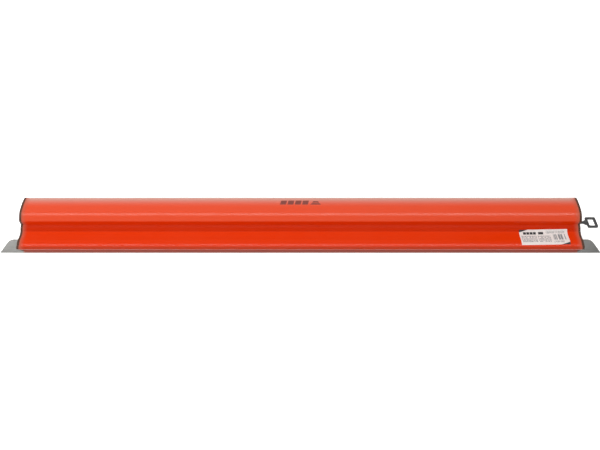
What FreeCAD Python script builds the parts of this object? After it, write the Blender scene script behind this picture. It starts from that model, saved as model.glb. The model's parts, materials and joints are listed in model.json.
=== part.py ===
import FreeCAD, Part
import math
import os

# A long finishing spatula: a thin steel blade in a hollow aluminium handle profile, closed by two
# end caps, with a swivelling ring at the right end to hang it from. It lies on its back.
# +X runs along the blade to the ring's end, the blade edge faces -Y, and +Z is the front.
# The origin is under the middle of the tool, on the surface that it lies on. Millimetres.
#
# A place in the cross-section is (height, offset): height from the blade edge towards the grip,
# and offset from the middle plane of the blade, positive towards the front.

# overall sizes
blade_length = 1000.0
overall_height = 94.0
half_width = 17.0
handle_length = 922.0

# outline of the handle profile
grip_top_radius = 7.5
grip_top_angle = 58.0
grip_crest_drop = 32.0
grip_crest_radius = 30.0
grip_crest_upper_angle = 10.0
grip_crest_lower_angle = 5.0
shoulder_height = 50.3
shoulder_inset = 2.0
shoulder_radius = 1.6
neck_top_height = 46.4
neck_half_width = 8.9
neck_crown = 0.35
neck_corner_radius = 0.8
neck_bottom_height = 36.6
neck_groove = 0.35
crest_height = 9.8
crest_radius = 0.8
lip_height = 4.1
lip_radius = 2.5

# inside of the handle profile
wall = 1.5
web = 1.5
port_wall = 1.7
port_bite = 0.4
lower_port_drop = 1.6

# blade and the two strips that hold it
blade_thickness = 0.3
blade_height = 22.8
blade_slant = 14.2
blade_top_radius = 13.0
blade_tip_radius = 0.6
strip_leg_thickness = 0.9
strip_head_thickness = 2.2
strip_head_start = 15.5
strip_mouth_setback = 0.3
strip_end_setback = 1.5
strip_top_rise = 0.5
channel_clearance = 0.05
rivet_radius = 1.5
rivet_head_radius = 2.4
rivet_head_depth = 0.9
rivet_pitch = 76.0
rivet_end_distance = 44.0

# end caps
cap_thickness = 4.0
cap_edge_bevel = 0.5
plug_length = 12.0
plug_wall = 2.0
plug_clearance = 0.15
blade_slit_clearance = 0.2

# cap screws
screw_length = 16.0
screw_shank_radius = 1.7
screw_port_clearance = 0.05
screw_cap_clearance = 0.5
screw_head_radius = 3.8
screw_head_height = 2.5
screw_recess_width = 1.1
screw_recess_length = 4.2
screw_recess_depth = 1.4

# hanging ring and its swivel
ring_axis_rise = 0.9
ring_tilt = -27.0
ring_start = 15.2
ring_length = 17.0
ring_width = 21.0
ring_thickness = 3.4
ring_side_bar = 3.7
ring_inner_bar = 3.0
ring_outer_bar = 3.8
ring_corner_radius = 2.2
ring_edge_radius = 0.7
gusset_length = 5.5
gusset_width = 11.0
stem_radius = 2.4
stem_clearance = 0.05
stem_tail = 1.6
bush_wall = 1.6
bush_length = 8.0
bush_flange_wall = 3.0
bush_flange_thickness = 1.2
boss_wall = 1.2
washer_wall = 1.75
washer_thickness = 0.8
swivel_play = 0.1
clip_wall = 1.9
clip_thickness = 0.8
clip_groove_depth = 0.6
clip_gap_share = 0.85
clip_pocket_clearance = 0.8

# sticker on the front of the flare
label_length = 80.0
label_middle = 402.5
label_top_overlap = 1.5
label_bottom_gap = 1.2
label_turn = 1.0
label_thickness = 0.12

os.makedirs("parts", exist_ok=True)

handle_end = handle_length / 2
cap_face = handle_end + cap_thickness
grip_crest_height = overall_height - grip_crest_drop
blade_half = blade_thickness / 2
mouth_half = blade_half + strip_leg_thickness + channel_clearance
chamber_half = blade_half + strip_head_thickness + channel_clearance
strip_top = blade_height + strip_top_rise
chamber_top = strip_top + channel_clearance
rivet_height = (strip_head_start + blade_height) / 2
port_hole_radius = screw_shank_radius + screw_port_clearance
port_radius = port_hole_radius + port_wall
upper_port_height = overall_height - wall - port_radius + port_bite
lower_port_height = neck_bottom_height - lower_port_drop
port_heights = (upper_port_height, lower_port_height)
ring_axis_height = shoulder_height + ring_axis_rise
bush_bore_radius = stem_radius + stem_clearance
bush_radius = bush_bore_radius + bush_wall
boss_radius = bush_radius + boss_wall
washer_radius = bush_bore_radius + washer_wall
clip_radius = stem_radius + clip_wall
grip_floor_height = ring_axis_height - boss_radius - plug_clearance - web
bush_back = cap_face - bush_length
washer_start = bush_back - swivel_play - washer_thickness
clip_start = washer_start - clip_thickness
stem_end = clip_start - stem_tail
label_top_height = neck_bottom_height + label_top_overlap
label_bottom_height = crest_height + crest_radius + label_bottom_gap
length_axis = FreeCAD.Vector(1, 0, 0)


def place(height, offset, x=0.0):
    return FreeCAD.Vector(x, height - overall_height / 2, offset + half_width)


def direction(degrees):
    # direction in the section, measured from "towards the blade edge" and turning outwards
    angle = math.radians(degrees)
    return FreeCAD.Vector(0, -math.cos(angle), math.sin(angle))


def tangent_arc(start, leaving, end):
    # arc from start to end that leaves start along the given direction
    chord = end - start
    half_turn = chord.getAngle(leaving)
    across = leaving - chord * (leaving.dot(chord) / chord.dot(chord))
    across.normalize()
    middle = start + chord * 0.5 + across * (chord.Length / 2 * math.tan(half_turn / 2))
    return Part.Arc(start, middle, end).toShape()


def arriving_arc(start, end, arriving):
    # arc from start to end that reaches end along the given direction
    return tangent_arc(end, arriving * -1, start)


def rounded_corner(before, corner, after, radius):
    # the arc that rounds a corner, with the points where it meets the two lines
    back = (before - corner).normalize()
    ahead = (after - corner).normalize()
    half = back.getAngle(ahead) / 2
    start = corner + back * (radius / math.tan(half))
    end = corner + ahead * (radius / math.tan(half))
    bisector = (back + ahead).normalize()
    middle = corner + bisector * (radius / math.sin(half) - radius)
    return start, middle, end


def line(start, end):
    return Part.LineSegment(start, end).toShape()


def box(low, high):
    size = high - low
    return Part.makeBox(size.x, size.y, size.z, low)


def front_outline():
    # edges of the front half of the section, from the top of the grip down to the lip floor
    top = place(overall_height, 0)
    top_centre = overall_height - grip_top_radius
    turn = math.radians(grip_top_angle)
    leave_top = place(top_centre + grip_top_radius * math.cos(turn), grip_top_radius * math.sin(turn))
    half_way = place(top_centre + grip_top_radius * math.cos(turn / 2),
                     grip_top_radius * math.sin(turn / 2))
    crest_centre = half_width - grip_crest_radius
    crest_points = [place(grip_crest_height + grip_crest_radius * math.sin(math.radians(angle)),
                          crest_centre + grip_crest_radius * math.cos(math.radians(angle)))
                    for angle in (grip_crest_upper_angle, 0, -grip_crest_lower_angle)]
    shoulder_corner = place(shoulder_height, half_width - shoulder_inset)
    neck_top = place(neck_top_height, neck_half_width)
    neck_bottom = place(neck_bottom_height, neck_half_width)
    neck_middle = place((neck_top_height + neck_bottom_height) / 2, neck_half_width + neck_crown)
    flare_top = place(neck_bottom_height - 2 * neck_groove, neck_half_width - neck_groove)
    flare_end = place(crest_height + crest_radius, half_width - crest_radius)
    band_top = place(crest_height, half_width)
    band_bottom = place(lip_height + lip_radius, half_width)
    lip_floor = place(lip_height, half_width - lip_radius)

    shoulder = rounded_corner(crest_points[2], shoulder_corner, neck_top, shoulder_radius)
    neck_corner = rounded_corner(shoulder_corner, neck_top, neck_bottom, neck_corner_radius)
    inflection = (flare_top + flare_end) * 0.5
    edges = [
        Part.Arc(top, half_way, leave_top).toShape(),
        tangent_arc(leave_top, direction(90 - grip_top_angle), crest_points[0]),
        Part.Arc(*crest_points).toShape(),
        tangent_arc(crest_points[2], direction(-grip_crest_lower_angle), shoulder[0]),
        Part.Arc(*shoulder).toShape(),
        line(shoulder[2], neck_corner[0]),
        Part.Arc(*neck_corner).toShape(),
        Part.Arc(neck_corner[2], neck_middle, neck_bottom).toShape(),
        line(neck_bottom, flare_top),
        tangent_arc(flare_top, direction(0), inflection),
        arriving_arc(inflection, flare_end, direction(0)),
        tangent_arc(flare_end, direction(90), band_top),
        line(band_top, band_bottom),
        tangent_arc(band_bottom, direction(0), lip_floor),
        line(lip_floor, place(lip_height, 0)),
    ]
    return edges


def outline_face():
    front = Part.Wire(Part.__sortEdges__(front_outline()))
    rear = front.mirror(place(0, 0), FreeCAD.Vector(0, 0, 1))
    return Part.Face(Part.Wire(Part.__sortEdges__(front.Edges + rear.Edges)))


def slab(low_height, high_height, low_offset, high_offset):
    # flat rectangle in the section
    corners = [place(low_height, low_offset), place(high_height, low_offset),
               place(high_height, high_offset), place(low_height, high_offset)]
    return Part.Face(Part.makePolygon(corners + corners[:1]))


def disc(height, radius):
    return Part.Face(Part.Wire(Part.makeCircle(radius, place(height, 0), length_axis)))


def run(face, start, end):
    # the section's face drawn out along the tool, from start to end
    moved = face.copy()
    moved.translate(FreeCAD.Vector(start, 0, 0))
    return moved.extrude(FreeCAD.Vector(end - start, 0, 0))


def rod(start, end, radius, height):
    return Part.makeCylinder(radius, end - start, place(height, 0, start), length_axis)


outline = outline_face()
skin = outline.makeOffset2D(-wall)


def hollow_faces():
    # the closed hollows of the profile: the grip, the neck, and one on each side of the channel
    solid_parts = [
        slab(grip_floor_height, grip_floor_height + web, -half_width, half_width),
        slab(lower_port_height - web / 2, lower_port_height + web / 2, -half_width, half_width),
        slab(0, chamber_top + web, -chamber_half - web, chamber_half + web),
        slab(chamber_top, lower_port_height, -web / 2, web / 2),
        disc(upper_port_height, port_radius),
        disc(lower_port_height, port_radius),
    ]
    rest = skin
    for part in solid_parts:
        rest = rest.cut(part)
    return sorted(rest.Faces, key=lambda face: face.CenterOfMass.y)


hollows = hollow_faces()
grip_hollow = hollows[-1]
jaw_hollows = [face for face in hollows if face.BoundBox.YMin < place(strip_head_start, 0).y]


def save(name, shape):
    shape.exportStep("parts/" + name + ".step")
    print(name, "solids", len(shape.Solids), "valid", shape.isValid(), "volume", round(shape.Volume, 1))


def handle_profile():
    section = outline
    channel = slab(0, strip_head_start, -mouth_half, mouth_half)
    chamber = slab(strip_head_start - channel_clearance, chamber_top, -chamber_half, chamber_half)
    ports = [disc(height, port_hole_radius) for height in port_heights]
    for gap in hollows + [channel, chamber] + ports:
        section = section.cut(gap)
    return run(section.Faces[0], -handle_end, handle_end)


def blade():
    # steel strip with slanted ends; its upper corners are rounded, its lower ones almost sharp
    half = blade_length / 2
    middle = half_width
    tip = FreeCAD.Vector(half, place(0, 0).y, middle)
    shoulder = FreeCAD.Vector(half - blade_slant, place(blade_height, 0).y, middle)
    foot = FreeCAD.Vector(0, tip.y, middle)
    back = FreeCAD.Vector(0, shoulder.y, middle)
    low = rounded_corner(foot, tip, shoulder, blade_tip_radius)
    high = rounded_corner(tip, shoulder, back, blade_top_radius)
    right = Part.Wire([
        line(foot, low[0]),
        Part.Arc(*low).toShape(),
        line(low[2], high[0]),
        Part.Arc(*high).toShape(),
        line(high[2], back),
    ])
    left = right.mirror(foot, length_axis)
    face = Part.Face(Part.Wire(Part.__sortEdges__(right.Edges + left.Edges)))
    face.translate(FreeCAD.Vector(0, 0, -blade_half))
    plate = face.extrude(FreeCAD.Vector(0, 0, blade_thickness))
    return plate.cut(Part.makeCompound(rivet_rods(rivet_radius)))


def rivet_places():
    span = handle_length - 2 * rivet_end_distance
    count = max(2, round(span / rivet_pitch) + 1)
    return [span * (i / (count - 1) - 0.5) for i in range(count)]


def rivet_rods(radius):
    reach = blade_half + strip_head_thickness
    across = FreeCAD.Vector(0, 0, 1)
    return [Part.makeCylinder(radius, 2 * reach, place(rivet_height, -reach, x), across)
            for x in rivet_places()]


def rivet_solids():
    # countersunk on both sides, so the strips slide along the channel
    reach = blade_half + strip_head_thickness
    solids = []
    for shank, x in zip(rivet_rods(rivet_radius), rivet_places()):
        for side in (1, -1):
            head = Part.makeCone(rivet_head_radius, rivet_radius, rivet_head_depth,
                                 place(rivet_height, side * reach, x), FreeCAD.Vector(0, 0, -side))
            shank = shank.fuse(head)
        solids.append(shank.removeSplitter())
    return Part.makeCompound(solids)


def clamp_strip(side):
    # thin leg in the jaw's mouth and a thick head that can't pass through it
    reach = handle_end - strip_end_setback
    inner = side * blade_half
    leg = slab(lip_height + strip_mouth_setback, strip_head_start + channel_clearance,
               inner, side * (blade_half + strip_leg_thickness))
    head = slab(strip_head_start + channel_clearance, strip_top,
                inner, side * (blade_half + strip_head_thickness))
    strip = run(leg, -reach, reach).fuse(run(head, -reach, reach)).removeSplitter()
    return strip.cut(rivet_solids())


def end_cap():
    # right-hand cap: a plate in the profile's outline, with a hollow plug for the grip and two
    # solid plugs for the jaw
    bevel_start = cap_face - cap_edge_bevel
    rim = outline.OuterWire.copy()
    rim.translate(FreeCAD.Vector(bevel_start, 0, 0))
    face_edge = outline.makeOffset2D(-cap_edge_bevel).OuterWire
    face_edge.translate(FreeCAD.Vector(cap_face, 0, 0))
    plate = run(outline, handle_end, bevel_start).fuse(Part.makeLoft([rim, face_edge], True, True))
    grip_plug = grip_hollow.makeOffset2D(-plug_clearance)
    grip_plug = grip_plug.cut(grip_hollow.makeOffset2D(-plug_clearance - plug_wall))
    plugs = [grip_plug] + [hollow.makeOffset2D(-plug_clearance) for hollow in jaw_hollows]
    for plug in plugs:
        plate = plate.fuse(run(plug, handle_end - plug_length, handle_end))
    slit_half = blade_half + blade_slit_clearance
    slit = slab(0, blade_height + blade_slit_clearance, -slit_half, slit_half)
    plate = plate.cut(run(slit, handle_end - plug_length, cap_face))
    for height in port_heights:
        hole_radius = screw_shank_radius + screw_cap_clearance
        plate = plate.cut(rod(handle_end - plug_length, cap_face, hole_radius, height))
    return plate.removeSplitter()


def ring_end_cap():
    # the same cap with a boss and a bore for the bush
    cap = end_cap()
    cap = cap.fuse(rod(bush_back, handle_end, boss_radius, ring_axis_height))
    cap = cap.cut(rod(bush_back, cap_face, bush_radius, ring_axis_height))
    pocket_radius = clip_radius + clip_pocket_clearance
    return cap.cut(rod(handle_end - plug_length, bush_back, pocket_radius, ring_axis_height))


def cap_screw(height):
    # right-hand tapping screw with a domed head and a cross recess
    shank = rod(cap_face - screw_length, cap_face, screw_shank_radius, height)
    dome_radius = (screw_head_radius ** 2 + screw_head_height ** 2) / (2 * screw_head_height)
    centre = cap_face + screw_head_height - dome_radius
    dome = Part.makeSphere(dome_radius, place(height, 0, centre))
    head = dome.common(rod(cap_face, cap_face + screw_head_height, screw_head_radius, height))
    half = FreeCAD.Vector(screw_recess_depth, screw_recess_length, screw_recess_width) * 0.5
    top = place(height, 0, cap_face + screw_head_height)
    flat_arm = box(top - half - FreeCAD.Vector(screw_recess_depth / 2, 0, 0), top + half)
    upright_arm = flat_arm.copy()
    upright_arm.rotate(top, length_axis, 90)
    return shank.fuse(head).cut(flat_arm).cut(upright_arm).removeSplitter()


def cap_screws():
    return Part.makeCompound([cap_screw(height) for height in port_heights])


def to_left(shape):
    # the same piece at the left end
    return shape.mirror(FreeCAD.Vector(0, 0, 0), length_axis)


def hanging_ring():
    # drawn flat in the blade's plane, then turned about its stem
    start = cap_face + ring_start
    end = start + ring_length
    half = FreeCAD.Vector(0, ring_width / 2, ring_thickness / 2)
    ring = box(place(ring_axis_height, 0, start) - half, place(ring_axis_height, 0, end) + half)
    upright = [edge for edge in ring.Edges if edge.BoundBox.ZLength > ring_thickness / 2]
    ring = ring.makeFillet(ring_corner_radius, upright)
    opening_half = FreeCAD.Vector(0, ring_width / 2 - ring_side_bar, ring_thickness)
    opening = box(place(ring_axis_height, 0, start + ring_inner_bar) - opening_half,
                  place(ring_axis_height, 0, end - ring_outer_bar) + opening_half)
    upright = [edge for edge in opening.Edges if edge.BoundBox.ZLength > ring_thickness]
    ring = ring.cut(opening.makeFillet(ring_corner_radius / 2, upright))
    rim = [edge for edge in ring.Edges if edge.BoundBox.ZLength < 0.001]
    ring = ring.makeFillet(ring_edge_radius, rim)

    web_half = ring_thickness / 2 - ring_edge_radius
    foot = start + ring_inner_bar / 2
    narrow = place(ring_axis_height, 0, start - gusset_length)
    wide = place(ring_axis_height, 0, start)
    into = place(ring_axis_height, 0, foot)
    beside = FreeCAD.Vector(0, 1, 0)
    corners = [narrow + beside * stem_radius, wide + beside * (gusset_width / 2),
               into + beside * (gusset_width / 2), into - beside * (gusset_width / 2),
               wide - beside * (gusset_width / 2), narrow - beside * stem_radius]
    gusset = Part.Face(Part.makePolygon(corners + corners[:1]))
    gusset.translate(FreeCAD.Vector(0, 0, -web_half))
    ring = ring.fuse(gusset.extrude(FreeCAD.Vector(0, 0, 2 * web_half)))

    ring = ring.fuse(rod(stem_end, foot, stem_radius, ring_axis_height))
    groove = rod(clip_start, clip_start + clip_thickness, stem_radius * 2, ring_axis_height)
    core = rod(clip_start, clip_start + clip_thickness, stem_radius - clip_groove_depth,
               ring_axis_height)
    ring = ring.cut(groove.cut(core)).removeSplitter()
    ring.rotate(place(ring_axis_height, 0), length_axis, ring_tilt)
    return ring


def ring_bush():
    bush = rod(bush_back, cap_face, bush_radius, ring_axis_height)
    flange_radius = stem_radius + bush_flange_wall
    flange_face = cap_face + bush_flange_thickness
    bush = bush.fuse(rod(cap_face, flange_face, flange_radius, ring_axis_height)).removeSplitter()
    return bush.cut(rod(bush_back, flange_face, bush_bore_radius, ring_axis_height))


def ring_washer():
    end = washer_start + washer_thickness
    washer = rod(washer_start, end, washer_radius, ring_axis_height)
    return washer.cut(rod(washer_start, end, bush_bore_radius, ring_axis_height))


def ring_clip():
    # open retaining clip, pushed into the groove from one side
    end = clip_start + clip_thickness
    clip = rod(clip_start, end, clip_radius, ring_axis_height)
    throat = stem_radius - clip_groove_depth
    clip = clip.cut(rod(clip_start, end, throat, ring_axis_height))
    gap_half = throat * clip_gap_share
    gap_low = place(ring_axis_height, -gap_half, clip_start)
    gap_high = place(ring_axis_height + clip_radius, gap_half, end)
    clip = clip.cut(box(gap_low, gap_high))
    clip.rotate(place(ring_axis_height, 0), length_axis, ring_tilt)
    return clip


def product_label():
    # thin sticker that follows the flare, put on slightly askew
    flare = outline.makeOffset2D(label_thickness).cut(outline)
    front = slab(label_bottom_height - label_length / 2, label_top_height + label_length / 2,
                 0, 2 * half_width)
    start = label_middle - label_length
    end = label_middle + label_length
    skin_strip = run(flare.common(front), start, end)
    low = place(label_bottom_height, 0, label_middle - label_length / 2)
    high = place(label_top_height, 2 * half_width, label_middle + label_length / 2)
    window = box(low, high)
    window.rotate((low + high) * 0.5, FreeCAD.Vector(0, 0, 1), label_turn)
    return skin_strip.common(window).removeSplitter()


pieces = {
    "handle_profile": handle_profile(),
    "blade": blade(),
    "front_clamp_strip": clamp_strip(1),
    "rear_clamp_strip": clamp_strip(-1),
    "clamp_rivets": rivet_solids(),
    "left_end_cap": to_left(end_cap()),
    "right_end_cap": ring_end_cap(),
    "left_cap_screws": to_left(cap_screws()),
    "right_cap_screws": cap_screws(),
    "hanging_ring": hanging_ring(),
    "ring_bush": ring_bush(),
    "ring_washer": ring_washer(),
    "ring_clip": ring_clip(),
    "product_label": product_label(),
}
for name, shape in pieces.items():
    save(name, shape)
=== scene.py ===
import json
import math

import bpy
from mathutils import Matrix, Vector
from mathutils.bvhtree import BVHTree


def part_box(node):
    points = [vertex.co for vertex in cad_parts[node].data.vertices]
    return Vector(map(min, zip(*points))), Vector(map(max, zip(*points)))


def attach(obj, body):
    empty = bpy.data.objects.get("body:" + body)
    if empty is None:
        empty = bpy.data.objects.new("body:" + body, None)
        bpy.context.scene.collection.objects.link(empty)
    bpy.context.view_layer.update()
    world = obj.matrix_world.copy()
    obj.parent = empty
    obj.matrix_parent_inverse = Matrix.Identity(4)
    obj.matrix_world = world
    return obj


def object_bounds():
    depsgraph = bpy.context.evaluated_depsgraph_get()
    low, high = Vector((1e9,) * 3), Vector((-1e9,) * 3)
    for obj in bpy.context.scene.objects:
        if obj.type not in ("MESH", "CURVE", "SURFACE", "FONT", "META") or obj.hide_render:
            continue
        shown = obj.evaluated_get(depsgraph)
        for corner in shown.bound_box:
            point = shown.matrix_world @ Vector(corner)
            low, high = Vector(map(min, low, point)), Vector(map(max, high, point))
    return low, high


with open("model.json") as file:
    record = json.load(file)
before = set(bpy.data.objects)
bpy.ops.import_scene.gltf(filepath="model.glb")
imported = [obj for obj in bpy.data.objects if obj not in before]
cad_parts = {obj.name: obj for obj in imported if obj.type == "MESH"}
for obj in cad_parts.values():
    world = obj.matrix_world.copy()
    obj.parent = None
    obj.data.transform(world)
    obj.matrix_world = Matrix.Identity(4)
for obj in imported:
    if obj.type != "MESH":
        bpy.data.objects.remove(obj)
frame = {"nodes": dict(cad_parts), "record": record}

# A long finishing spatula on its back: coated aluminium handle, steel blade, end caps, hanging ring.
# Lengths are in metres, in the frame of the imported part.

mm = 0.001
cadLow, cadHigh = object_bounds()
nodes = frame["nodes"]
scene = bpy.context.scene


# camera and lights

cameraSet = {
    "lens": 31.2, "sensor": 36.0,
    "elevation": 81.0, "distance": 0.8730, "offCentre": -0.8 * mm,
}


def makeCamera():
    cam = bpy.data.cameras.new("camera")
    cam.lens = cameraSet["lens"]
    cam.sensor_width = cameraSet["sensor"]
    rig = bpy.data.objects.new("camera", cam)
    scene.collection.objects.link(rig)
    tilt = math.radians(cameraSet["elevation"])
    back = Vector((0, -math.cos(tilt), math.sin(tilt)))
    rig.location = (cadLow + cadHigh) / 2 + back * cameraSet["distance"]
    rig.location.x += cameraSet["offCentre"]
    rig.rotation_euler = (-back).to_track_quat("-Z", "Y").to_euler()
    scene.camera = rig


lampSets = {
    # tilt is in degrees towards +Y, middle is the lamp's place along X
    "softbox": {"tilt": 13.0, "distance": 1.6, "middle": -0.25, "width": 3.2, "depth": 0.19,
                "watts": 14.0, "colour": (1.0, 0.97, 0.92), "reflected": True},
    # the two panels only fill, so they leave no reflection on the coating
    "backPanel": {"tilt": 58.0, "distance": 2.0, "middle": -0.9, "width": 3.4, "depth": 1.6,
                  "watts": 24.0, "colour": (1.0, 0.99, 0.97), "reflected": False},
    "frontPanel": {"tilt": -30.0, "distance": 2.0, "middle": -0.9, "width": 3.4, "depth": 1.2,
                   "watts": 32.0, "colour": (0.98, 0.98, 1.0), "reflected": False},
}
worldSet = {"colour": (1.0, 1.0, 1.0, 1.0), "strength": 0.17}


def makeLamp(name):
    settings = lampSets[name]
    lamp = bpy.data.lights.new(name, "AREA")
    lamp.shape = "RECTANGLE"
    lamp.size = settings["width"]
    lamp.size_y = settings["depth"]
    lamp.energy = settings["watts"]
    lamp.color = settings["colour"]
    holder = bpy.data.objects.new(name, lamp)
    scene.collection.objects.link(holder)
    angle = math.radians(settings["tilt"])
    out = Vector((0, math.sin(angle), math.cos(angle)))
    holder.location = out * settings["distance"] + Vector((settings["middle"], 0, 0))
    holder.rotation_euler = (-angle, 0, 0)
    holder.visible_camera = False
    holder.visible_glossy = settings["reflected"]


def makeWorld():
    world = bpy.data.worlds.new("studio")
    world.use_nodes = True
    sky = world.node_tree.nodes["Background"]
    sky.inputs["Color"].default_value = worldSet["colour"]
    sky.inputs["Strength"].default_value = worldSet["strength"]
    scene.world = world
    scene.view_settings.view_transform = "Standard"


# small tools for node trees

def feed(tree, socket, value):
    if isinstance(value, bpy.types.NodeSocket):
        tree.links.new(value, socket)
    elif isinstance(value, bpy.types.Node):
        tree.links.new(value.outputs[0], socket)
    else:
        socket.default_value = value


def put(tree, kind, inputs=None, **settings):
    node = tree.nodes.new(kind)
    for name, value in settings.items():
        setattr(node, name, value)
    for name, value in (inputs or {}).items():
        feed(tree, node.inputs[name], value)
    return node


def maths(tree, operation, first, second=0.0):
    return put(tree, "ShaderNodeMath", {0: first, 1: second}, operation=operation).outputs[0]


def times(tree, first, second):
    return maths(tree, "MULTIPLY", first, second)


def mixColour(tree, amount, first, second):
    # the Mix node holds a set of sockets for each kind of data, so the kind is matched too
    node = put(tree, "ShaderNodeMix", data_type="RGBA")
    for name, kind, value in (("Factor", "VALUE", amount), ("A", "RGBA", first), ("B", "RGBA", second)):
        socket = [s for s in node.inputs if s.name == name and s.type == kind][0]
        feed(tree, socket, value)
    return [s for s in node.outputs if s.type == "RGBA"][0]


def span(tree, value, low, high, toLow=0.0, toHigh=1.0):
    inputs = {"Value": value, "From Min": low, "From Max": high, "To Min": toLow, "To Max": toHigh}
    return put(tree, "ShaderNodeMapRange", inputs).outputs[0]


def makeGroup(name, inputs, outputs):
    tree = bpy.data.node_groups.new(name, "ShaderNodeTree")
    for label, (kind, value) in inputs.items():
        socket = tree.interface.new_socket(label, in_out="INPUT", socket_type="NodeSocket" + kind)
        socket.default_value = value
    for label, kind in outputs.items():
        tree.interface.new_socket(label, in_out="OUTPUT", socket_type="NodeSocket" + kind)
    return tree, put(tree, "NodeGroupInput"), put(tree, "NodeGroupOutput")


def useGroup(tree, group, **inputs):
    return put(tree, "ShaderNodeGroup", inputs, node_tree=group)


def objectPlace(tree):
    return put(tree, "ShaderNodeTexCoord").outputs["Object"]


# effects that several finishes share

def makeGrain():
    # fine all-over texture, as a coating, a moulding or paper has
    tree, given, out = makeGroup(
        "fineGrain",
        {"Size": ("Float", 1 * mm), "Roughness": ("Float", 0.5)},
        {"Height": "Float", "Mask": "Float"})
    scale = maths(tree, "DIVIDE", 1.0, given.outputs["Size"])
    fine = put(tree, "ShaderNodeTexNoise", {
        "Vector": objectPlace(tree), "Scale": scale, "Detail": 3.0,
        "Roughness": given.outputs["Roughness"]})
    feed(tree, out.inputs["Height"], fine.outputs["Fac"])
    feed(tree, out.inputs["Mask"], span(tree, fine.outputs["Fac"], 0.35, 0.65))
    return tree


def makeDrawnLines():
    # long fine lines along the tool, from the die, the rolling mill or the brush
    tree, given, out = makeGroup(
        "drawnLines",
        {"Pitch": ("Float", 0.5 * mm), "Length": ("Float", 120 * mm)},
        {"Height": "Float", "Mask": "Float"})
    along = maths(tree, "DIVIDE", 1.0, given.outputs["Length"])
    across = maths(tree, "DIVIDE", 1.0, given.outputs["Pitch"])
    stretch = put(tree, "ShaderNodeCombineXYZ", {"X": along, "Y": across, "Z": across})
    place = put(tree, "ShaderNodeVectorMath", {0: objectPlace(tree), 1: stretch},
                operation="MULTIPLY")
    lines = put(tree, "ShaderNodeTexNoise", {
        "Vector": place, "Scale": 1.0, "Detail": 4.0, "Roughness": 0.6})
    feed(tree, out.inputs["Height"], lines.outputs["Fac"])
    feed(tree, out.inputs["Mask"], span(tree, lines.outputs["Fac"], 0.38, 0.62))
    return tree


def makeEdgeWear():
    # a broken line along sharp edges, where handling rubs first
    tree, given, out = makeGroup(
        "edgeWear",
        {"Width": ("Float", 0.6 * mm), "Breaks": ("Float", 6 * mm), "Amount": ("Float", 0.5)},
        {"Mask": "Float"})
    rounded = put(tree, "ShaderNodeBevel", {"Radius": given.outputs["Width"]}, samples=6)
    flat = put(tree, "ShaderNodeNewGeometry").outputs["Normal"]
    match = put(tree, "ShaderNodeVectorMath", {0: rounded, 1: flat}, operation="DOT_PRODUCT")
    edge = span(tree, match.outputs["Value"], 0.995, 0.86)
    scale = maths(tree, "DIVIDE", 1.0, given.outputs["Breaks"])
    patches = put(tree, "ShaderNodeTexNoise", {
        "Vector": objectPlace(tree), "Scale": scale, "Detail": 4.0})
    rubbed = span(tree, patches.outputs["Fac"], 0.4, 0.62)
    mask = times(tree, times(tree, edge, rubbed), given.outputs["Amount"])
    feed(tree, out.inputs["Mask"], mask)
    return tree


def makeHandling():
    # wide faint smears and dust from hands and storage
    tree, given, out = makeGroup(
        "handling",
        {"Size": ("Float", 60 * mm), "Amount": ("Float", 0.5)},
        {"Mask": "Float"})
    scale = maths(tree, "DIVIDE", 1.0, given.outputs["Size"])
    clouds = put(tree, "ShaderNodeTexNoise", {
        "Vector": objectPlace(tree), "Scale": scale, "Detail": 6.0, "Roughness": 0.65,
        "Distortion": 0.6})
    mask = times(tree, span(tree, clouds.outputs["Fac"], 0.42, 0.7), given.outputs["Amount"])
    feed(tree, out.inputs["Mask"], mask)
    return tree


grainGroup = makeGrain()
linesGroup = makeDrawnLines()
wearGroup = makeEdgeWear()
handlingGroup = makeHandling()
print("shared effects made")


# finishes

def newFinish(name, **sockets):
    material = bpy.data.materials.new(name)
    material.use_nodes = True
    tree = material.node_tree
    shader = tree.nodes["Principled BSDF"]
    for label, value in sockets.items():
        shader.inputs[label].default_value = value
    return material, tree, shader


def addBump(tree, shader, height, distance, strength=1.0, under=None):
    inputs = {"Height": height, "Distance": distance, "Strength": strength}
    if under is not None:
        inputs["Normal"] = under
    bump = put(tree, "ShaderNodeBump", inputs)
    feed(tree, shader.inputs["Normal"], bump)
    return bump


coatingSet = {
    # heights are measured from the blade edge up to the grip
    "colour": (0.71, 0.033, 0.0005, 1.0),
    "deeper": (0.65, 0.028, 0.0005, 1.0), "deeperShare": 0.35,
    # painted shade for the finger recess
    "groove": (0.545, 0.022, 0.0005, 1.0), "grooveFoot": 33.5 * mm, "grooveTop": 47.5 * mm,
    # painted sheen on the grip
    "gripSheen": (0.78, 0.105, 0.045, 1.0), "gripSheenShare": 0.55, "gripSheenFoot": 49.8 * mm,
    # painted reflection along the top of the grip
    "topReflection": (0.58, 0.33, 0.28, 1.0), "topReflectionFoot": 74.0 * mm, "topReflectionEnd": 91.0 * mm,
    "topReflectionPower": 2.1,
    # painted shade on the lip's lower rounding
    "lipShade": (0.37, 0.030, 0.004, 1.0), "lipShadeShare": 0.75, "lipShadeTop": 9.6 * mm,
    "lipShadeEnd": 7.2 * mm,
    "dullEnd": (0.46, 0.125, 0.080, 1.0), "dullShare": 0.85, "dullLength": 9.0 * mm,
    "dullPower": 1.5, "dullShine": 0.2,
    "dust": (0.74, 0.16, 0.08, 1.0), "dustShare": 0.08,
    "filmFoot": 11.0 * mm, "filmFull": 20.0 * mm, "filmShine": 0.05,
    "smearAmount": 0.35, "smearShine": 0.85,
    "roughness": 0.35,
    # the shine is a clear layer over a nearly matt colour
    "gloss": {"IOR": 1.35, "Specular IOR Level": 0.07, "Coat IOR": 1.35, "Coat Roughness": 0.18},
}


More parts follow.
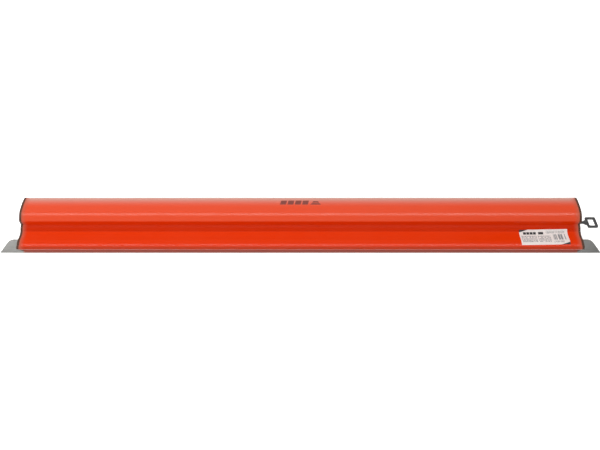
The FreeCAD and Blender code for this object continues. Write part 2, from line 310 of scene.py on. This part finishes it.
def makeCoating():
    kit = coatingSet
    material, tree, shader = newFinish("coatedAluminium", **kit["gloss"])
    dieLines = useGroup(tree, linesGroup, Pitch=1.6 * mm, Length=400 * mm)
    peel = useGroup(tree, grainGroup, Size=1.1 * mm, Roughness=0.4)
    smears = useGroup(tree, handlingGroup, Size=70 * mm, Amount=kit["smearAmount"])
    wear = useGroup(tree, wearGroup, Width=0.5 * mm, Breaks=9 * mm, Amount=0.2)
    place = put(tree, "ShaderNodeSeparateXYZ", {"Vector": objectPlace(tree)})
    height = maths(tree, "SUBTRACT", place.outputs["Y"], cadLow.y)
    fromMiddle = maths(tree, "ABSOLUTE", place.outputs["X"])

    colour = mixColour(tree, times(tree, dieLines.outputs["Mask"], kit["deeperShare"]),
                       kit["colour"], kit["deeper"])
    # painted shade: the finger recess is painted darker, as the shade that falls in it
    groove = times(tree, span(tree, height, kit["grooveFoot"], kit["grooveFoot"] + 2 * mm),
                   span(tree, height, kit["grooveTop"], kit["grooveTop"] - 2 * mm))
    colour = mixColour(tree, groove, colour, kit["groove"])
    # painted sheen: the grip is painted paler and pinker, as the sheen on its glossy coating
    onGrip = span(tree, height, kit["gripSheenFoot"], kit["gripSheenFoot"] + 2.5 * mm)
    colour = mixColour(tree, times(tree, onGrip, kit["gripSheenShare"]), colour, kit["gripSheen"])
    # painted reflection: towards the top of the grip the coating is painted pale pink, as the
    # reflection of the bright surroundings at a grazing angle
    towardsTop = span(tree, height, kit["topReflectionFoot"], kit["topReflectionEnd"])
    towardsTop = maths(tree, "POWER", towardsTop, kit["topReflectionPower"])
    colour = mixColour(tree, towardsTop, colour, kit["topReflection"])
    # painted shade: the lip's lower rounding, which faces down, is painted darker
    lipShade = span(tree, height, kit["lipShadeTop"], kit["lipShadeEnd"], 0.0, kit["lipShadeShare"])
    colour = mixColour(tree, lipShade, colour, kit["lipShade"])
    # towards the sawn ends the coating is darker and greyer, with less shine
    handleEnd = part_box("handle_profile")[1].x
    dull = span(tree, fromMiddle, handleEnd - kit["dullLength"], handleEnd)
    dull = times(tree, maths(tree, "POWER", dull, kit["dullPower"]), kit["dullShare"])
    colour = mixColour(tree, dull, colour, kit["dullEnd"])
    colour = mixColour(tree, times(tree, smears.outputs["Mask"], kit["dustShare"]),
                       colour, kit["dust"])
    colour = mixColour(tree, wear.outputs["Mask"], colour, kit["dust"])
    feed(tree, shader.inputs["Base Color"], colour)

    rough = maths(tree, "ADD", kit["roughness"], times(tree, smears.outputs["Mask"], 0.3))
    rough = maths(tree, "ADD", rough, times(tree, dieLines.outputs["Mask"], 0.05))
    feed(tree, shader.inputs["Roughness"], rough)
    # a dirt film between grip and lip takes most of the shine away
    filmAndLipReflection = times(tree, span(tree, height, kit["filmFoot"], kit["filmFull"]),
                 span(tree, height, kit["gripSheenFoot"] + 1 * mm, kit["gripSheenFoot"] - 1 * mm))
    shine = times(tree, span(tree, filmAndLipReflection, 0.0, 1.0, 1.0, kit["filmShine"]),
                  span(tree, dull, 0.0, kit["dullShare"], 1.0, kit["dullShine"]))
    shine = times(tree, shine, span(tree, smears.outputs["Mask"], 0.0, kit["smearAmount"],
                                    1.0, kit["smearShine"]))
    feed(tree, shader.inputs["Coat Weight"], shine)
    lines = addBump(tree, shader, dieLines.outputs["Height"], 0.003 * mm, 0.5)
    addBump(tree, shader, peel.outputs["Height"], 0.003 * mm, 0.5, lines)
    return material


steelSet = {
    "colour": (0.295, 0.30, 0.30, 1.0),
    "darker": (0.24, 0.245, 0.245, 1.0),
    "smear": (0.22, 0.216, 0.21, 1.0),
    # the two brown colours are a painted reflection of the orange lip and painted shade under it
    "filmAndLipReflection": (0.64, 0.20, 0.15, 1.0), "lipReflectionTop": 6.0 * mm,
    "edgeReflection": (0.38, 0.24, 0.21, 1.0), "edgeReflectionTop": 2.8 * mm,
    "reflectionMetal": 0.35,
    "roughness": 0.28,
    "anisotropy": 0.4,
}


def makeBladeSteel():
    kit = steelSet
    material, tree, shader = newFinish("brushedSteel", Metallic=1.0, Anisotropic=kit["anisotropy"])
    brushed = useGroup(tree, linesGroup, Pitch=0.4 * mm, Length=60 * mm)
    bands = useGroup(tree, linesGroup, Pitch=1.6 * mm, Length=120 * mm)
    smears = useGroup(tree, handlingGroup, Size=30 * mm, Amount=0.6)
    colour = mixColour(tree, times(tree, brushed.outputs["Mask"], 0.3), kit["colour"], kit["darker"])
    colour = mixColour(tree, times(tree, bands.outputs["Mask"], 0.25), colour, kit["darker"])
    colour = mixColour(tree, times(tree, smears.outputs["Mask"], 0.5), colour, kit["smear"])
    # between the caps the steel under the lip is painted brown and less metallic, as a painted
    # reflection of the orange lip and painted shade under it, darker towards the edge
    place = put(tree, "ShaderNodeSeparateXYZ", {"Vector": objectPlace(tree)})
    height = maths(tree, "SUBTRACT", place.outputs["Y"], cadLow.y)
    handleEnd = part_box("handle_profile")[1].x
    filmAndLipReflection = maths(tree, "LESS_THAN", maths(tree, "ABSOLUTE", place.outputs["X"]), handleEnd)
    filmAndLipReflection = times(tree, filmAndLipReflection, span(tree, height, kit["lipReflectionTop"] + 1 * mm, kit["lipReflectionTop"]))
    reflectionColour = mixColour(tree, span(tree, height, kit["edgeReflectionTop"], 0.0),
                           kit["filmAndLipReflection"], kit["edgeReflection"])
    feed(tree, shader.inputs["Base Color"], mixColour(tree, filmAndLipReflection, colour, reflectionColour))
    feed(tree, shader.inputs["Metallic"], span(tree, filmAndLipReflection, 0.0, 1.0, 1.0, kit["reflectionMetal"]))
    feed(tree, shader.inputs["Roughness"],
         maths(tree, "ADD", kit["roughness"], times(tree, smears.outputs["Mask"], 0.15)))
    addBump(tree, shader, brushed.outputs["Height"], 0.001 * mm, 0.3)
    # the brush ran along X, so the gloss spreads across it
    feed(tree, shader.inputs["Tangent"],
         put(tree, "ShaderNodeTangent", direction_type="RADIAL", axis="X"))
    return material


metalSets = {
    "bareAluminium": {"colour": (0.74, 0.75, 0.76, 1.0), "darker": (0.60, 0.61, 0.62, 1.0),
                      "rubbed": (0.85, 0.85, 0.85, 1.0),
                      "roughness": 0.3, "pitch": 0.3 * mm, "length": 150 * mm},
    "platedSteel": {"colour": (0.66, 0.66, 0.63, 1.0), "darker": (0.50, 0.50, 0.48, 1.0),
                    "rubbed": (0.85, 0.85, 0.85, 1.0),
                    "roughness": 0.26, "pitch": 0.4 * mm, "length": 3 * mm},
}


def makeMetal(name):
    kit = metalSets[name]
    material, tree, shader = newFinish(name, Metallic=1.0)
    lines = useGroup(tree, linesGroup, Pitch=kit["pitch"], Length=kit["length"])
    grain = useGroup(tree, grainGroup, Size=0.5 * mm, Roughness=0.6)
    wear = useGroup(tree, wearGroup, Width=0.25 * mm, Breaks=3 * mm, Amount=0.6)
    colour = mixColour(tree, times(tree, lines.outputs["Mask"], 0.6), kit["colour"], kit["darker"])
    colour = mixColour(tree, wear.outputs["Mask"], colour, kit["rubbed"])
    feed(tree, shader.inputs["Base Color"], colour)
    feed(tree, shader.inputs["Roughness"],
         span(tree, grain.outputs["Mask"], 0.0, 1.0, kit["roughness"], kit["roughness"] + 0.14))
    bump = addBump(tree, shader, lines.outputs["Height"], 0.01 * mm, 0.6)
    addBump(tree, shader, grain.outputs["Height"], 0.01 * mm, 0.4, bump)
    return material


plasticSets = {
    "capPlastic": {"colour": (0.075, 0.026, 0.013, 1.0), "paler": (0.13, 0.052, 0.030, 1.0),
                   "roughness": 0.42},
    "ringPlastic": {"colour": (0.050, 0.050, 0.052, 1.0), "paler": (0.11, 0.11, 0.115, 1.0),
                    "roughness": 0.40},
}


def makePlastic(name):
    kit = plasticSets[name]
    material, tree, shader = newFinish(name, IOR=1.5)
    grain = useGroup(tree, grainGroup, Size=0.35 * mm, Roughness=0.65)
    smears = useGroup(tree, handlingGroup, Size=14 * mm, Amount=0.5)
    wear = useGroup(tree, wearGroup, Width=0.35 * mm, Breaks=4 * mm, Amount=0.5)
    colour = mixColour(tree, times(tree, grain.outputs["Mask"], 0.25), kit["colour"], kit["paler"])
    colour = mixColour(tree, times(tree, smears.outputs["Mask"], 0.4), colour, kit["paler"])
    colour = mixColour(tree, wear.outputs["Mask"], colour, kit["paler"])
    feed(tree, shader.inputs["Base Color"], colour)
    feed(tree, shader.inputs["Roughness"],
         span(tree, grain.outputs["Mask"], 0.0, 1.0, kit["roughness"], kit["roughness"] + 0.16))
    addBump(tree, shader, grain.outputs["Height"], 0.04 * mm, 0.6)
    return material


labelSet = {
    "paper": (0.78, 0.72, 0.70, 1.0),
    "tint": (0.72, 0.57, 0.54, 1.0),
    "ink": (0.03, 0.028, 0.03, 1.0),
    "greyInk": (0.24, 0.24, 0.25, 1.0),
    "turn": 1.0,  # degrees
    # lengths on the label are in millimetres from its middle, and a block is left, right,
    # bottom, top
    "solidBlocks": [(-33.6, -28.9, 4.8, 9.0), (-28.1, -23.4, 4.8, 9.0), (-22.6, -17.9, 4.8, 9.0),
                    (-17.1, -12.4, 4.8, 9.0), (-8.8, -0.4, 4.8, 9.0)],
    "printBlocks": [(-37.5, -12.5, -8.5, 3.4), (-10.5, 10.5, -8.5, 3.4), (4.0, 35.0, 6.2, 10.6),
                    (14.0, 31.0, -9.6, -6.2)],
    "linePitch": 2.3, "lineShare": 0.58, "dashScale": 0.75, "dashShift": 7.3, "dashCut": 0.46,
    "barcode": (14.5, 35.0, -4.8, 4.6), "barPitch": 0.8, "barCut": 0.30,
    "halfLength": 40.0, "cornerReach": 17.0, "cornerSlope": 3.4,
}


def inside(tree, x, y, block):
    left, right, bottom, top = block
    checks = [("GREATER_THAN", x, left), ("LESS_THAN", x, right),
              ("GREATER_THAN", y, bottom), ("LESS_THAN", y, top)]
    mask = 1.0
    for operation, value, limit in checks:
        mask = times(tree, mask, maths(tree, operation, value, limit))
    return mask


def anyOf(tree, masks):
    total = masks[0]
    for mask in masks[1:]:
        total = maths(tree, "MAXIMUM", total, mask)
    return total


def darkCorners(tree, x, y, halfHeight):
    # the inked corners at the top left and the bottom right
    slanted = times(tree, y, labelSet["cornerSlope"])
    limit = halfHeight * labelSet["cornerSlope"] + labelSet["halfLength"] - labelSet["cornerReach"]
    topLeft = maths(tree, "GREATER_THAN", maths(tree, "SUBTRACT", slanted, x), limit)
    bottomRight = maths(tree, "GREATER_THAN", maths(tree, "SUBTRACT", x, slanted), limit)
    return [topLeft, bottomRight]


def bars(tree, x, y):
    number = maths(tree, "FLOOR", maths(tree, "DIVIDE", x, labelSet["barPitch"]))
    noise = put(tree, "ShaderNodeTexWhiteNoise", {"W": number}, noise_dimensions="1D")
    inked = maths(tree, "GREATER_THAN", noise.outputs["Value"], labelSet["barCut"])
    return times(tree, inked, inside(tree, x, y, labelSet["barcode"]))


def smallPrint(tree, x, y):
    # rows of uneven dashes that stand for lines of print
    row = maths(tree, "DIVIDE", y, labelSet["linePitch"])
    inRow = maths(tree, "GREATER_THAN", maths(tree, "FRACT", row), 1 - labelSet["lineShare"])
    dashPlace = put(tree, "ShaderNodeCombineXYZ", {
        "X": times(tree, x, labelSet["dashScale"]),
        "Y": times(tree, maths(tree, "FLOOR", row), labelSet["dashShift"])})
    noise = put(tree, "ShaderNodeTexNoise", {"Vector": dashPlace, "Scale": 1.0, "Detail": 2.0})
    dashes = maths(tree, "GREATER_THAN", noise.outputs["Fac"], labelSet["dashCut"])
    blocks = anyOf(tree, [inside(tree, x, y, block) for block in labelSet["printBlocks"]])
    return times(tree, times(tree, inRow, dashes), blocks)


def makeLabelPaper():
    material, tree, shader = newFinish("labelPaper", IOR=1.45)
    low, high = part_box("product_label")
    middle = (low + high) / 2
    turned = put(tree, "ShaderNodeVectorRotate", {
        "Vector": objectPlace(tree), "Center": middle, "Angle": math.radians(-labelSet["turn"])},
        rotation_type="Z_AXIS")
    place = put(tree, "ShaderNodeSeparateXYZ", {"Vector": turned})
    x = maths(tree, "DIVIDE", maths(tree, "SUBTRACT", place.outputs["X"], middle.x), mm)
    y = maths(tree, "DIVIDE", maths(tree, "SUBTRACT", place.outputs["Y"], middle.y), mm)

    blocks = [inside(tree, x, y, block) for block in labelSet["solidBlocks"]]
    solid = anyOf(tree, blocks + darkCorners(tree, x, y, (high.y - low.y) / 2 / mm))
    grey = anyOf(tree, [smallPrint(tree, x, y), bars(tree, x, y)])
    fibres = useGroup(tree, grainGroup, Size=0.4 * mm, Roughness=0.7)
    smears = useGroup(tree, handlingGroup, Size=18 * mm, Amount=0.5)
    colour = mixColour(tree, times(tree, smears.outputs["Mask"], 0.5),
                       labelSet["paper"], labelSet["tint"])
    colour = mixColour(tree, grey, colour, labelSet["greyInk"])
    colour = mixColour(tree, solid, colour, labelSet["ink"])
    feed(tree, shader.inputs["Base Color"], colour)
    feed(tree, shader.inputs["Roughness"],
         span(tree, fibres.outputs["Mask"], 0.0, 1.0, 0.38, 0.55))
    addBump(tree, shader, fibres.outputs["Height"], 0.01 * mm, 0.5)
    return material


finishes = {
    "coated_aluminium": makeCoating(),
    "blade_steel": makeBladeSteel(),
    "bare_aluminium": makeMetal("bareAluminium"),
    "plated_steel": makeMetal("platedSteel"),
    "cap_plastic": makePlastic("capPlastic"),
    "ring_plastic": makePlastic("ringPlastic"),
    "label_paper": makeLabelPaper(),
}


def dressNodes():
    slotOf = {row["node"]: row["material_slot"] for row in frame["record"]["subparts"]}
    for name, piece in nodes.items():
        finish = finishes[slotOf[name]]
        for i in range(len(piece.material_slots)):
            piece.material_slots[i].material = finish


dressNodes()
print("finishes made")


# the printed mark on the grip: plain slanted blocks and a badge of two bars, no lettering

markSet = {
    "middleX": 0.0, "height": 83.3 * mm, "tall": 7.4 * mm,
    "blocks": 4, "blockWidth": 9.9 * mm, "blockGap": 2.3 * mm, "slant": 1.8 * mm,
    "badgeWidth": 17.5 * mm, "badgeGap": 4.2 * mm, "badgeSlope": 0.8, "barShare": 0.36,
    "lift": 0.02 * mm, "thickness": 0.03 * mm,
    "colour": (0.19, 0.045, 0.034, 1.0), "paler": (0.27, 0.065, 0.048, 1.0),
    "across": 6, "up": 5,  # faces on each block, so that it follows the curved grip
}


def makeInk():
    material, tree, shader = newFinish("printedInk", IOR=1.45)
    grain = useGroup(tree, grainGroup, Size=0.5 * mm, Roughness=0.6)
    colour = mixColour(tree, grain.outputs["Mask"], markSet["colour"], markSet["paler"])
    feed(tree, shader.inputs["Base Color"], colour)
    feed(tree, shader.inputs["Roughness"],
         span(tree, grain.outputs["Mask"], 0.0, 1.0, 0.35, 0.5))
    addBump(tree, shader, grain.outputs["Height"], 0.01 * mm, 0.5)
    return material


def surfaceFinder(node):
    mesh = nodes[node].data
    corners = [v.co.copy() for v in mesh.vertices]
    faces = [tuple(p.vertices) for p in mesh.polygons]
    tree = BVHTree.FromPolygons(corners, faces)

    def topOf(x, y):
        hit = tree.ray_cast(Vector((x, y, 1.0)), Vector((0, 0, -1)))
        return hit[0].z
    return topOf


def markOutlines():
    # four-cornered outlines: x from the mark's left, y up from its foot, and the whole length
    width, tall, slant = markSet["blockWidth"], markSet["tall"], markSet["slant"]
    step = width + markSet["blockGap"]
    outlines = []
    for i in range(markSet["blocks"]):
        left = i * step
        outlines.append([(left, 0), (left + width, 0), (left + width + slant, tall),
                         (left + slant, tall)])
    left = markSet["blocks"] * step - markSet["blockGap"] + markSet["badgeGap"]
    right = left + markSet["badgeWidth"]
    for foot in (0, tall * 0.5):
        top = foot + tall * markSet["barShare"]
        footIn, topIn = foot * markSet["badgeSlope"], top * markSet["badgeSlope"]
        outlines.append([(left + footIn, foot), (right - footIn, foot),
                         (right - topIn, top), (left + topIn, top)])
    return outlines, right


def layBlock(outline, startX, footY, topOf, verts, faces):
    # a thin closed block of ink that follows the grip's surface
    lowLeft, lowRight, topRight, topLeft = outline
    across, up = markSet["across"], markSet["up"]
    sheets = []
    for lift in (markSet["lift"], markSet["lift"] + markSet["thickness"]):
        rows = []
        for j in range(up + 1):
            v = j / up
            row = []
            for i in range(across + 1):
                u = i / across
                x = startX + (lowLeft[0] * (1 - u) + lowRight[0] * u) * (1 - v)
                x += (topLeft[0] * (1 - u) + topRight[0] * u) * v
                y = footY + lowLeft[1] * (1 - v) + topLeft[1] * v
                row.append(len(verts))
                verts.append((x, y, topOf(x, y) + lift))
            rows.append(row)
        sheets.append(rows)
    lower, upper = sheets
    for j in range(up):
        for i in range(across):
            faces.append((upper[j][i], upper[j][i + 1], upper[j + 1][i + 1], upper[j + 1][i]))
            faces.append((lower[j + 1][i], lower[j + 1][i + 1], lower[j][i + 1], lower[j][i]))
    rim = [(0, i) for i in range(across)] + [(j, across) for j in range(up)]
    rim += [(up, i) for i in range(across, 0, -1)] + [(j, 0) for j in range(up, 0, -1)]
    for (j, i), (nextJ, nextI) in zip(rim, rim[1:] + rim[:1]):
        faces.append((lower[j][i], lower[nextJ][nextI], upper[nextJ][nextI], upper[j][i]))


def makeGripMark():
    topOf = surfaceFinder("handle_profile")
    outlines, length = markOutlines()
    startX = markSet["middleX"] - length / 2
    footY = cadLow.y + markSet["height"] - markSet["tall"] / 2
    verts, faces = [], []
    for outline in outlines:
        layBlock(outline, startX, footY, topOf, verts, faces)
    mesh = bpy.data.meshes.new("grip_mark")
    mesh.from_pydata(verts, [], faces)
    mesh.materials.append(makeInk())
    piece = bpy.data.objects.new("grip_mark", mesh)
    scene.collection.objects.link(piece)
    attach(piece, "handle")


makeGripMark()
print("printed mark made")


# floor

floorSet = {
    "size": 24.0,
    "colour": (0.93, 0.93, 0.93, 1.0), "shade": (0.91, 0.91, 0.91, 1.0),
    "glow": 0.75,  # the floor is a light table, so hardly any shadow shows on it
}


def makeFloor():
    half, z = floorSet["size"] / 2, cadLow.z
    mesh = bpy.data.meshes.new("floor")
    mesh.from_pydata([(-half, -half, z), (half, -half, z), (half, half, z), (-half, half, z)], [],
                     [(0, 1, 2, 3)])
    material, tree, shader = newFinish("paleFloor", IOR=1.4)
    shader.inputs["Emission Strength"].default_value = floorSet["glow"]
    clouds = useGroup(tree, grainGroup, Size=4 * mm, Roughness=0.6)
    colour = mixColour(tree, clouds.outputs["Mask"], floorSet["colour"], floorSet["shade"])
    feed(tree, shader.inputs["Base Color"], colour)
    feed(tree, shader.inputs["Emission Color"], colour)
    feed(tree, shader.inputs["Roughness"],
         span(tree, clouds.outputs["Mask"], 0.0, 1.0, 0.85, 0.95))
    mesh.materials.append(material)
    floor = bpy.data.objects.new("floor", mesh)
    scene.collection.objects.link(floor)


makeFloor()
makeWorld()
for lampName in lampSets:
    makeLamp(lampName)
makeCamera()
print("floor, lights and camera made")
